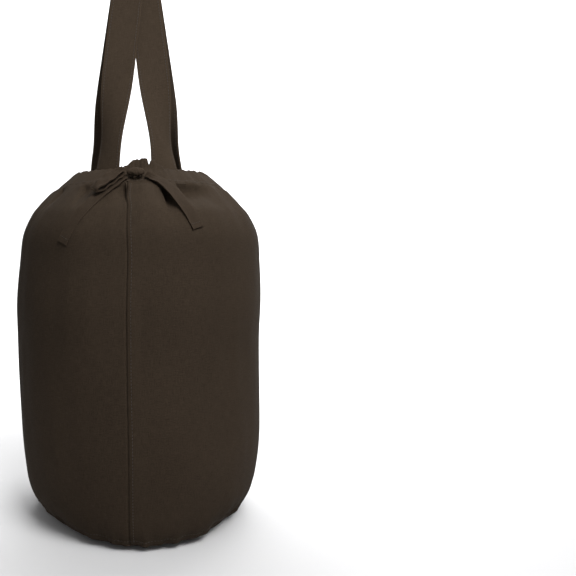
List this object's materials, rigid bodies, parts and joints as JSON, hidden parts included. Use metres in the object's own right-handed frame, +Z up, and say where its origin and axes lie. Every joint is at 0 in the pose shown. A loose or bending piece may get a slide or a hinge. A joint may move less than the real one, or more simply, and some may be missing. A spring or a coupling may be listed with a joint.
{
  "type": "drawstring carrier bag for a large bottle",
  "caption": "Round hollow canvas bag with a gathered drawstring mouth and flat carrying straps, standing full, its handle tops held together above it.",
  "frame": {"origin": "where both handle tops are held, level with the underside of their folds", "axes": "+Z up along the bag's height, -Y towards the front where the drawstring is tied, +X to the right seen from the front"},
  "size_m": [0.319, 0.319, 0.7585],
  "materials": {
    "canvas_side": "matt dark brown canvas",
    "canvas_base": "matt dark brown canvas",
    "canvas_hem": "matt dark brown canvas",
    "canvas_tape": "matt dark brown tape",
    "canvas_strap": "matt dark brown strap"
  },
  "bodies": {
    "root": {"side_panel": "canvas_side", "base_panel": "canvas_base", "drawstring_casing": "canvas_hem", "drawstring_run": "canvas_tape", "drawstring_knot": "canvas_tape", "drawstring_loop": "canvas_tape", "drawstring_tail_left": "canvas_tape", "drawstring_tail_right": "canvas_tape", "front_handle": "canvas_strap", "back_handle": "canvas_strap"}
  },
  "joints": []
}
